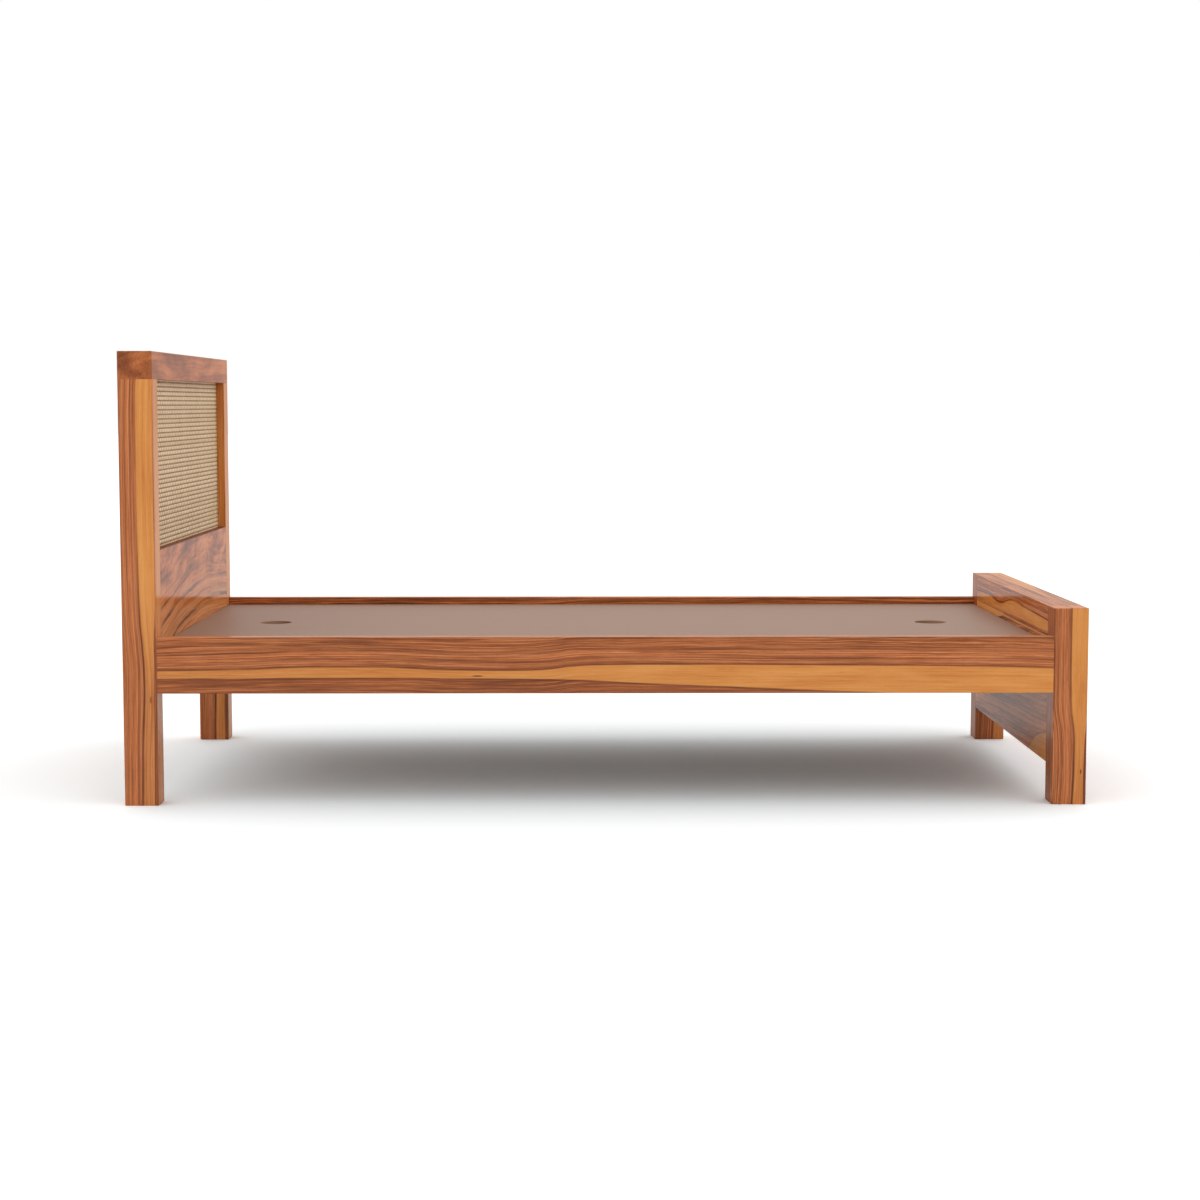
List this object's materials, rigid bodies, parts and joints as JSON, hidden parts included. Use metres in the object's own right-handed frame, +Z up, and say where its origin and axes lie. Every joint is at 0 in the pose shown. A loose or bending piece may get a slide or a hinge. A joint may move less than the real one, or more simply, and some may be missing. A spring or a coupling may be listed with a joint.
{
  "type": "single bed",
  "caption": "Single bed in figured hardwood: tall headboard with a recessed cane field, low footboard, deep side rails and a lift-out platform board with finger holes.",
  "frame": {"origin": "on the floor, under the middle of the bed's overall box", "axes": "+X along the bed from the headboard to the footboard, +Y across the bed, +Z up"},
  "size_m": [2.14, 1.038, 1.006],
  "materials": {
    "lacquered_rosewood": "satin lacquer over figured red-brown heartwood with honey sapwood bands",
    "woven_cane": "close-woven natural cane, matt",
    "brown_ply": "stained ply, matt",
    "plain_softwood": "planed, unfinished",
    "taupe_laminate": "flat taupe laminate on board",
    "zinc_steel": "zinc plated",
    "beech": "turned, unfinished"
  },
  "bodies": {
    "bed_frame": {"headboard_post_left": "lacquered_rosewood", "headboard_post_right": "lacquered_rosewood", "headboard_cap": "lacquered_rosewood", "headboard_lower_panel": "lacquered_rosewood", "cane_webbing": "woven_cane", "cane_backing_panel": "brown_ply", "cane_bead_top": "lacquered_rosewood", "cane_bead_bottom": "lacquered_rosewood", "cane_bead_left": "lacquered_rosewood", "cane_bead_right": "lacquered_rosewood", "footboard_post_left": "lacquered_rosewood", "footboard_post_right": "lacquered_rosewood", "footboard_top_rail": "lacquered_rosewood", "footboard_panel": "lacquered_rosewood", "side_rail_left": "lacquered_rosewood", "side_rail_right": "lacquered_rosewood", "ledger_left": "plain_softwood", "ledger_right": "plain_softwood", "cross_batten_1": "plain_softwood", "cross_batten_2": "plain_softwood", "cross_batten_3": "plain_softwood", "cross_batten_4": "plain_softwood", "cross_batten_5": "plain_softwood", "rail_bolt_head_left_upper": "zinc_steel", "rail_bolt_head_left_lower": "zinc_steel", "rail_bolt_head_right_upper": "zinc_steel", "rail_bolt_head_right_lower": "zinc_steel", "rail_bolt_foot_left_upper": "zinc_steel", "rail_bolt_foot_left_lower": "zinc_steel", "rail_bolt_foot_right_upper": "zinc_steel", "rail_bolt_foot_right_lower": "zinc_steel", "barrel_nut_head_left_upper": "zinc_steel", "barrel_nut_head_left_lower": "zinc_steel", "barrel_nut_head_right_upper": "zinc_steel", "barrel_nut_head_right_lower": "zinc_steel", "barrel_nut_foot_left_upper": "zinc_steel", "barrel_nut_foot_left_lower": "zinc_steel", "barrel_nut_foot_right_upper": "zinc_steel", "barrel_nut_foot_right_lower": "zinc_steel", "rail_dowel_head_left": "beech", "rail_dowel_head_right": "beech", "rail_dowel_foot_left": "beech", "rail_dowel_foot_right": "beech", "batten_screw_1_left": "zinc_steel", "batten_screw_1_right": "zinc_steel", "batten_screw_2_left": "zinc_steel", "batten_screw_2_right": "zinc_steel", "batten_screw_3_left": "zinc_steel", "batten_screw_3_right": "zinc_steel", "batten_screw_4_left": "zinc_steel", "batten_screw_4_right": "zinc_steel", "batten_screw_5_left": "zinc_steel", "batten_screw_5_right": "zinc_steel"},
    "platform_board": {"mattress_board": "taupe_laminate"}
  },
  "joints": [
    {"name": "board_lift", "type": "slide", "parent": "bed_frame", "child": "platform_board", "axis": [0, 0, 1], "range_m": [0, 0.15]}
  ]
}
